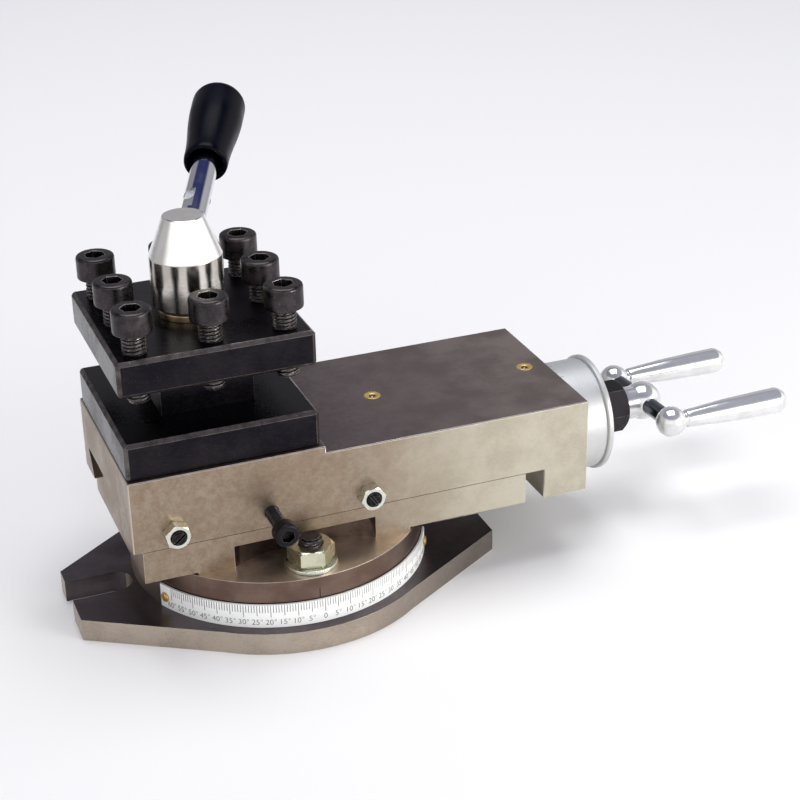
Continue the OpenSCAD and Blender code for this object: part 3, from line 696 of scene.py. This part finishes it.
def make_scale(m):
    """The strip with its degree marks and figures. Its zero faces -Y."""
    cad_piece("degree_scale", "scale_strip", "base", [m["strip"]], bevel=0.1)
    face_radius, last_degree, zero_at = 53.02, 60, -90
    mark_top, mark_width = STRIP_HIGH - 0.15, 0.2
    figure_size, figure_foot = 2.9, STRIP_LOW + 1.2
    bm = bmesh.new()
    for degree in range(-last_degree, last_degree + 1):
        mark_foot = mark_top - mark_length(degree)
        mark_sheet(bm, face_radius, degree + zero_at, mark_foot, mark_top, mark_width)
    for degree in range(-last_degree, last_degree + 1, 5):
        figure = str(abs(degree)) + ("°" if degree else "")
        numeral(bm, figure, figure_size, face_radius, degree + zero_at, figure_foot)
    make_piece("scale_marks", bm, "base", [m["ink"]])


def make_scale_screws(m):
    """Round-headed slotted screws at both ends of the strip."""
    from_middle, seat_radius, height = 63.2, 52.3, 12.45
    shank, head, head_top = 0.85, 1.75, 1.7
    outline = rounded([(0, -3), (shank, -3), (shank, 0.8), (head, 0.8, 0.1), (head, 1.3, 0.5),
                       (0.9, head_top - 0.02, 0.4), (0, head_top)])
    bm = bmesh.new()
    places = []
    for side in (-1, 1):
        angle = math.radians(-90 + side * from_middle)
        out = Vector((math.cos(angle), math.sin(angle), 0))
        places.append(place_along(out * seat_radius + Vector((0, 0, height)), out))
        revolve(bm, outline, places[-1], 32)
    screws = make_piece("scale_strip_screws", bm, "base", [m["brass"]], ["scale_screws"])
    for place in places:
        carve(screws, (-0.22, -2.5, head_top - 0.4), (0.22, 2.5, head_top + 1.3), place)


# ---------------------------------------------------------------- lower slide

def nut_profile(across_flats, height, bore):
    """Outline of a hexagon nut with both faces chamfered."""
    apothem = across_flats / 2
    corner = apothem / math.cos(HEX_TURN / 2)
    face_radius = apothem * 0.985
    rise = (corner - apothem) * 0.62
    mouth = 0.4
    steps = 6
    rising = [(face_radius + (corner - face_radius) * k / steps, rise * k / steps, apothem)
              for k in range(steps + 1)]
    falling = [(radius, height - z, side) for radius, z, side in reversed(rising)]
    lower_mouth = [(bore, mouth), (bore + mouth, 0)]
    upper_mouth = [(bore + mouth, height), (bore, height - mouth)]
    return lower_mouth + rising + falling + upper_mouth


def make_nut(name, node, body, material, place, across_flats, height, bore):
    bm = bmesh.new()
    revolve(bm, nut_profile(across_flats, height, bore), place, closed=True)
    return make_piece(name, bm, body, [material], [node], soft_edge=CRISP_EDGE)


def make_lower_slide(m):
    disc_face, disc_rim, pocket, grime = 2, 3, 4, 5
    way_z = node_box("gib_strip")[0].z - 0.3
    side_y = node_box("top_slide")[1].y

    def finish(middle, direction):
        if middle.z < DISC_TOP + 0.2:
            return disc_face if direction.z > 0.7 else disc_rim
        # Faces down in the pocket get the darker copy, painted shade.
        return pocket if middle.z < way_z - 1 and abs(middle.y) < side_y - 0.1 else 0

    def seam(middle):
        return abs(middle.z - way_z) < 0.5 and abs(middle.y) > side_y - 1

    cad_piece("swivel_slide", "lower_slide_casting", "lower_slide",
              [m["slide"], m["slide_edge"], m["disc"], m["disc_rim"], m["pocket"], m["grime"]],
              bevel=0.28, choose=finish, seam=seam, seam_material=grime)
    rim_radius = node_box("swivel_slide")[1].y
    index_angle, index_low, index_high, index_width = -91.5, 17.2, 20.6, 0.36
    bm = bmesh.new()
    mark_sheet(bm, rim_radius, index_angle, index_low, index_high, index_width, lift=0.06)
    make_piece("disc_index_mark", bm, "lower_slide", [m["grime"]])


def make_swivel_clamp(m):
    """T-bolts with their washers and nuts, in front and at the rear. A T-bolt's head is round."""
    shank, head, head_low, head_high = 4, 5.8, 3.7, 8.6
    thread_low, bolt_top = 12, node_box("t_bolts")[1].z
    washer_bore, washer_radius = 4.2, 9
    washer_low, washer_high = DISC_TOP + 0.02, node_box("t_bolt_washers")[1].z
    head_outline = rounded([(0, head_low), (head, head_low, 0.4), (head, head_high, 0.4),
                            (shank, head_high), (shank, thread_low + 1), (0, thread_low + 1)])
    washer_outline = rounded([(washer_bore, washer_low), (washer_radius, washer_low, 0.3),
                              (washer_radius, washer_high, 0.55), (washer_bore, washer_high)])
    bolt_turn, nut_turn = z_turn(-1), z_turn(17)
    bolts = bmesh.new()
    washers = bmesh.new()
    for nut in ("front_clamp_nut", "rear_clamp_nut"):
        x, y = node_middle(nut).xy
        place = Matrix.Translation((x, y, 0)) @ bolt_turn
        threaded_rod(bolts, shank, thread_low, bolt_top, M8_PITCH, place, 40)
        revolve(bolts, head_outline, place, 48)
        revolve(washers, washer_outline, place, closed=True)
    make_piece("clamp_studs", bolts, "lower_slide", [m["screw"]], ["t_bolts"])
    make_piece("clamp_washers", washers, "lower_slide", [m["zinc"]], ["t_bolt_washers"])
    for end in ("front", "rear"):
        x, y = node_middle(end + "_clamp_nut").xy
        seat = node_box(end + "_clamp_nut")[0].z
        make_nut(end + "_swivel_nut", end + "_clamp_nut", end + "_nut", m["yellow_zinc"],
                 Matrix.Translation((x, y, seat)) @ nut_turn, across_flats=14, height=6, bore=4.05)


def make_feed_nut(m):
    cad_piece("leadscrew_nut", "leadscrew_nut_block", "lower_slide", [m["bronze"]])
    cad_piece("nut_screws", "leadscrew_nut_screws", "lower_slide", [m["screw"]],
              bevel=0.08)


# ---------------------------------------------------------------- top slide

def make_top_slide(m):
    top_shade, groove = 2, 3
    groove_half_w, groove_roof = 29, 49

    def finish(middle, direction):
        # Faces inside the dovetail groove get the darker copy, painted shade.
        if abs(middle.y) < groove_half_w and middle.z < groove_roof and abs(direction.x) < 0.5:
            return groove
        if chamfer(direction):
            return WORN
        # Top faces get the darker copy of the steel, painted shade.
        return top_shade if direction.z > 0.7 else 0

    cad_piece("top_slide", "top_slide_casting", "upper_slide",
              [m["slide"], m["slide_edge"], m["slide_top"], m["recess"]], bevel=0.06, choose=finish)
    cad_piece("gib_strip", "gib", "upper_slide", [m["slide"], m["grime"]], bevel=0.25)
    cad_piece("bearing_bush", "screw_bush", "upper_slide", [m["bronze"]])
    cad_piece("post_stud", "tool_post_stud", "upper_slide", [m["ground"]])


def make_gib_screws(m):
    """Two slotted set screws, each with a locknut, all standing at different turns."""
    positions = ((-44.5, 43), (23.5, 42.2))     # x and z
    slot_turns, nut_turns = (40, 125), (12, 38)
    towards_front = (0, -1, 0)
    radius, screw_start, screw_end, slot_floor, slot_half_w = 2.48, 24, 40.2, 39.1, 0.42
    nut_seat_y = node_box("gib_locknuts")[1].y
    places = [place_along((x, 0, z), towards_front) for x, z in positions]
    bm = bmesh.new()
    for place in places:
        threaded_rod(bm, radius, screw_start, screw_end, M5_PITCH, place, 32)
    screws = make_piece("gib_set_screws", bm, "upper_slide", [m["black_steel"]],
                        ["gib_screws"])
    for place, turn in zip(places, slot_turns):
        turned = place @ z_turn(turn)
        carve(screws, (-3, -slot_half_w, slot_floor), (3, slot_half_w, screw_end + 1.8), turned)
    bm = bmesh.new()
    for (x, z), turn in zip(positions, nut_turns):
        place = place_along((x, nut_seat_y, z), towards_front, turn)
        revolve(bm, nut_profile(across_flats=8, height=4, bore=2.5), place, closed=True)
    make_piece("gib_lock_nuts", bm, "upper_slide", [m["zinc"]], ["gib_locknuts"],
               soft_edge=CRISP_EDGE)


def make_oilers(m):
    """Brass cups let into the slide's top. The lip of each cup keeps its ball in."""
    outer, wall, lip = 2.98, 1.7, 1.25
    first, last = node_box("oiler_cups")
    low, top = first.z, last.z
    ball = ball_profile(1.6, 12, middle=node_middle("oiler_balls").z)
    cup_outline = rounded([(wall, low), (outer, low), (outer, top, 0.25), (2.0, top, 0.3),
                           (lip, top - 0.25), (lip, top - 0.6), (wall, top - 1.1)])
    cups = bmesh.new()
    balls = bmesh.new()
    for x in (first.x + outer, last.x - outer):
        place = Matrix.Translation((x, 0, 0))
        revolve(cups, cup_outline, place, 48, closed=True)
        revolve(balls, ball, place, 32)
    make_piece("oiler_rings", cups, "upper_slide", [m["brass"]], ["oiler_cups"])
    make_piece("oiler_check_balls", balls, "upper_slide", [m["arm"]], ["oiler_balls"])


def make_index_ball(m):
    """The ball and spring under the tool post."""
    bm = bmesh.new()
    revolve(bm, ball_profile(3, 18), Matrix.Translation(node_middle("index_ball")), 36)
    make_piece("index_bearing_ball", bm, "upper_slide", [m["chrome"]], ["index_ball"])
    cad_piece("index_spring", "index_coil_spring", "upper_slide", [m["ground"]], bevel=0)


# ---------------------------------------------------------------- screws with a hexagon socket

def cap_screw(bm, place, radius, length, pitch, head_radius, head_height, socket):
    """Socket head screw: the underside of its head is at local zero and its tip points down."""
    floor = head_height * 0.45
    half = socket / 2
    shank = radius * 0.86
    wide = 99       # outside any hexagon, so that a ring of this radius is all hexagon
    head = rounded([(0, 0.02), (shank, 0.02), (head_radius - 0.1, 0, 0.35), (head_radius, 0.5, 0.3),
                    (head_radius, head_height - 1.0, 0.35), (head_radius - 0.25, head_height - 0.35, 0.3),
                    (head_radius - 0.95, head_height, 0.3), (half * 1.3, head_height)])
    hollow = [(wide, head_height, half + 0.12), (wide, head_height - 0.25, half), (wide, floor, half),
              (half * 0.5, floor - 0.1), (0, floor - 0.5)]
    revolve(bm, head + hollow, place)
    threaded_rod(bm, radius, -length, 0.3, pitch, place, 36, thread_from=-0.6)


def make_tool_screws(m):
    """Eight clamping screws round the tool post, each turned a little further than the one before."""
    head_height, turn_step = 8, 17
    for number in range(1, 9):
        node = f"tool_screw_{number}"
        x, y = node_middle(node).xy
        head_seat = node_box(node)[1].z - head_height
        turn = z_turn(turn_step * number)
        bm = bmesh.new()
        cap_screw(bm, Matrix.Translation((x, y, head_seat)) @ turn, radius=3.95, length=24,
                  pitch=M8_PITCH, head_radius=6.5, head_height=head_height, socket=6)
        make_piece(f"tool_clamp_screw_{number}", bm, f"screw_{number}", [m["screw"]],
                   [node], soft_edge=SCREW_EDGE)


def make_lock_screw(m):
    """The slide's lock screw, which lies along Y with its head in front."""
    head_height = 5
    x, z = node_middle("lock_screw").xz
    head_seat = node_box("lock_screw")[0].y + head_height
    bm = bmesh.new()
    cap_screw(bm, place_along((x, head_seat, z), (0, -1, 0), 12), radius=2.45, length=21.5,
              pitch=M5_PITCH, head_radius=4.25, head_height=head_height, socket=4)
    make_piece("slide_lock_screw", bm, "slide_lock", [m["black_steel"]], ["lock_screw"],
               soft_edge=SCREW_EDGE)


# ---------------------------------------------------------------- tool post and lever

def make_post(m):
    outside = node_box("tool_post")[1].y - 2

    def finish(middle, direction):
        outer_edge = chamfer(direction) and max(abs(middle.x - POST_X), abs(middle.y)) > outside
        return WORN if outer_edge else 0

    cad_piece("tool_post", "four_way_post", "turret", [m["post"], m["post_edge"]],
              bevel=0.15, choose=finish)
    cad_piece("hub_washer", "hub_thrust_washer", "turret", [m["bronze"]], bevel=0.2)


def make_hub(m):
    """The clamping hub: a cylinder with a bore from below and a brighter cone on top."""
    cone = 1
    bore, radius, top_radius = 6.05, 12.2, 6.4
    low, top = (corner.z for corner in node_box("clamp_hub"))
    bore_end, cone_low = 120.5, 125.3
    outline = rounded([(bore, bore_end), (bore, low + 0.4, 0.2), (bore + 0.35, low), (radius, low, 0.5),
                       (radius, cone_low, 0.25), (top_radius + 0.45, top - 0.15, 0.2),
                       (top_radius, top, 0.15), (0, top)])
    bm = bmesh.new()
    revolve(bm, outline, Matrix.Translation((POST_X, 0, 0)))
    bore_rim = [e for e in bm.edges if e.is_boundary]
    bmesh.ops.contextual_create(bm, geom=bore_rim)      # closes the bore's upper end
    hub = make_piece("clamping_hub", bm, "clamp", [m["hub"], m["hub_cone"]],
                     ["clamp_hub"], soft_edge=14)
    for polygon in hub.data.polygons:
        if polygon.center.z / MM > cone_low + 0.1:
            polygon.material_index = cone


def grip_profile(length):
    """Outline of the lever's grip: a hollow collar, a slow swell and a domed end."""
    collar_radius, full_radius = 7.8, 9.6
    swell_low, swell_high, swell_steps = 3, length * 0.74, 14
    dome_width, dome_height = 5, 4.5
    collar = [(4.7, 6), (5.9, 1.2, 0.4), (6.6, 0, 0.5), (7.6, 0.3, 0.6), (collar_radius, 2, 0.5)]
    swell = []
    for k in range(1, swell_steps + 1):
        share = k / swell_steps
        radius = collar_radius + (full_radius - collar_radius) * (1 - math.cos(math.pi * share)) / 2
        swell.append((radius, swell_low + (swell_high - swell_low) * share))
    dome = []
    for degrees in range(0, 91, 9):
        turn = math.radians(degrees)
        dome.append((full_radius - dome_width * (1 - math.cos(turn)),
                     length - dome_height + dome_height * math.sin(turn)))
    return [(0, 6)] + rounded(collar + [swell[0]])[:-1] + swell + dome + [(0, length)]


def make_lever(m):
    """A round bar with two flats that rises out of the hub, and its plastic grip."""
    rise, azimuth = math.radians(16), math.radians(65)
    foot = (POST_X, 0, 126.4)
    direction = (math.cos(rise) * math.cos(azimuth), math.cos(rise) * math.sin(azimuth), math.sin(rise))
    lever = place_along(foot, direction)
    radius, low, high = 4.6, 6.1, 59.8
    bm = bmesh.new()
    revolve(bm, rounded([(0, low), (radius, low), (radius, high, 0.4), (0, high)]), lever, 64)
    bar = make_piece("lever_bar", bm, "clamp", [m["chrome"]], ["lever_rod"])
    flat_low, flat_high, cut_middle, cut_half = 18.5, 28.5, 6.2, 3
    upright = Matrix.Translation(foot) @ Matrix.Rotation(azimuth, 4, "Z")
    leaning = upright @ Matrix.Rotation(math.pi / 2 - rise, 4, "Y")
    flats = leaning @ z_turn(45)
    for side in (-1, 1):
        middle = side * cut_middle
        carve(bar, (-6, middle - cut_half, flat_low), (6, middle + cut_half, flat_high), flats)

    grip_start, grip_length = 49, 41
    bm = bmesh.new()
    revolve(bm, grip_profile(grip_length), lever @ Matrix.Translation((0, 0, grip_start)))
    make_piece("lever_knob", bm, "clamp", [m["plastic"]], ["lever_grip"], soft_edge=50)


# ---------------------------------------------------------------- leadscrew, dial and crank

CRANK_AXIS = place_along((0, 0, SCREW_Z), (1, 0, 0))


def make_feed_screw(m):
    """Leadscrew with its thrust collar and plain outer end, and what the dial turns on."""
    start, end = (corner.x for corner in node_box("leadscrew"))
    thread, collar, collar_low, collar_high = 5, 9.2, 89.3, 92.7
    bm = bmesh.new()
    threaded_rod(bm, thread, start, collar_low, FEED_PITCH, CRANK_AXIS, 28)
    plain = rounded([(0, collar_low - 0.4), (thread, collar_low - 0.4), (thread, collar_low),
                     (collar, collar_low, 0.4), (collar, collar_high, 0.4), (thread, collar_high),
                     (thread, end, 0.6), (0, end)])
    revolve(bm, plain, CRANK_AXIS, 64)
    make_piece("feed_screw", bm, "crank", [m["ground"]], ["leadscrew"])
    cad_piece("dial_hub", "dial_bearing_hub", "crank", [m["ground"]])
    cad_piece("dial_spring", "dial_friction_spring", "crank", [m["ground"]], bevel=0.05)


def make_dial(m):
    """Graduated dial: an open sleeve with a rim and a web that runs on the hub, and its marks."""
    sleeve, rim, hollow, bore = 20.6, 21.6, 17.6, 9.05
    start, end = (corner.x for corner in node_box("dial_ring"))
    web = end - 5
    outline = rounded([(hollow, web), (hollow, start, 0.1), (sleeve, start, 0.4), (sleeve, end - 2.6),
                       (sleeve - 0.25, end - 2.5), (sleeve - 0.25, end - 2.15),
                       (sleeve + 0.5, end - 2.1), (rim, end - 1.7, 0.3), (rim, end, 0.5),
                       (18.4, end, 0.3), (18.1, end - 0.3, 0.2), (10.2, end - 0.3, 0.2),
                       (bore, end - 0.1), (bore, web)])
    bm = bmesh.new()
    revolve(bm, outline, CRANK_AXIS, 144, closed=True)
    make_piece("micrometer_dial", bm, "dial", [m["aluminium"]], ["dial_ring"],
               soft_edge=CRISP_EDGE)
    divisions, long_mark, short_mark, half_width = 50, 3.6, 2.2, 0.06
    marks_from = start + 0.5
    bm = bmesh.new()
    for k in range(divisions):
        place = CRANK_AXIS @ z_turn(360 * k / divisions)
        reach = long_mark if k % 5 == 0 else short_mark
        block(bm, (sleeve - 0.05, -half_width, marks_from),
              (sleeve + 0.015, half_width, marks_from + reach), place)
    make_piece("dial_marks", bm, "dial", [m["ink"]])


def make_crank(m):
    """Drive nut, and the ball crank: a middle ball with two arms, each with an end ball and a handle."""
    nut_start, nut_end = (corner.x for corner in node_box("drive_nut"))
    nut_place = CRANK_AXIS @ Matrix.Translation((0, 0, nut_start)) @ Matrix.Rotation(HEX_TURN / 2, 4, "Z")
    make_nut("crank_drive_nut", "drive_nut", "crank", m["black_steel"], nut_place,
             across_flats=17, height=nut_end - nut_start, bore=5.02)

    middle = Matrix.Translation((node_middle("crank_end_balls").x, 0, SCREW_Z))
    tilted = middle @ Matrix.Rotation(math.radians(-3), 4, "X")
    outwards = CRANK_AXIS.to_3x3().to_4x4()
    neck_radius, low, high = 6.2, node_box("crank_ball")[0].x, 144
    neck = rounded([(0, low), (neck_radius, low, 0.4), (neck_radius, high), (0, high)])
    bm = bmesh.new()
    revolve(bm, ball_profile(7.3, 28), middle @ outwards, 64)
    revolve(bm, neck, CRANK_AXIS, 64)
    make_piece("crank_middle_ball", bm, "crank", [m["satin_chrome"]], ["crank_ball"])

    arm_radius, arm_start, arm_end, end_ball_out = 3.2, 5.3, 19.9, 22.5
    arm = rounded([(0, arm_start), (arm_radius, arm_start), (arm_radius, arm_end), (0, arm_end)])
    handle = rounded([(0, 3.5), (2.75, 3.5), (2.75, 5.6, 0.2), (3.3, 6.2, 0.4), (3.45, 8, 0.6),
                      (4.45, 22, 4), (4.95, 40, 5), (5.0, 45.2, 1.0), (3.6, 47.5, 0.9), (0, 47.5)], 6)
    arms = bmesh.new()
    end_balls = bmesh.new()
    handles = bmesh.new()
    for side in (-1, 1):
        revolve(arms, arm, tilted @ place_along((0, 0, 0), (0, side, 0)), 48)
        end = tilted @ Matrix.Translation((0, side * end_ball_out, 0)) @ outwards
        revolve(end_balls, ball_profile(5.7, 24), end, 48)
        revolve(handles, handle, end, 48)
    make_piece("crank_arm_bars", arms, "crank", [m["arm"]], ["crank_arms"])
    make_piece("crank_arm_balls", end_balls, "crank", [m["satin_chrome"]], ["crank_end_balls"])
    make_piece("crank_handles", handles, "crank", [m["satin_chrome"]], ["crank_grips"])


place_camera()
make_studio()
materials = make_materials()
for make in (make_base, make_scale, make_scale_screws,
             make_lower_slide, make_swivel_clamp, make_feed_nut,
             make_top_slide, make_gib_screws, make_oilers, make_index_ball,
             make_tool_screws, make_lock_screw, make_post, make_hub, make_lever,
             make_feed_screw, make_dial, make_crank):
    make(materials)
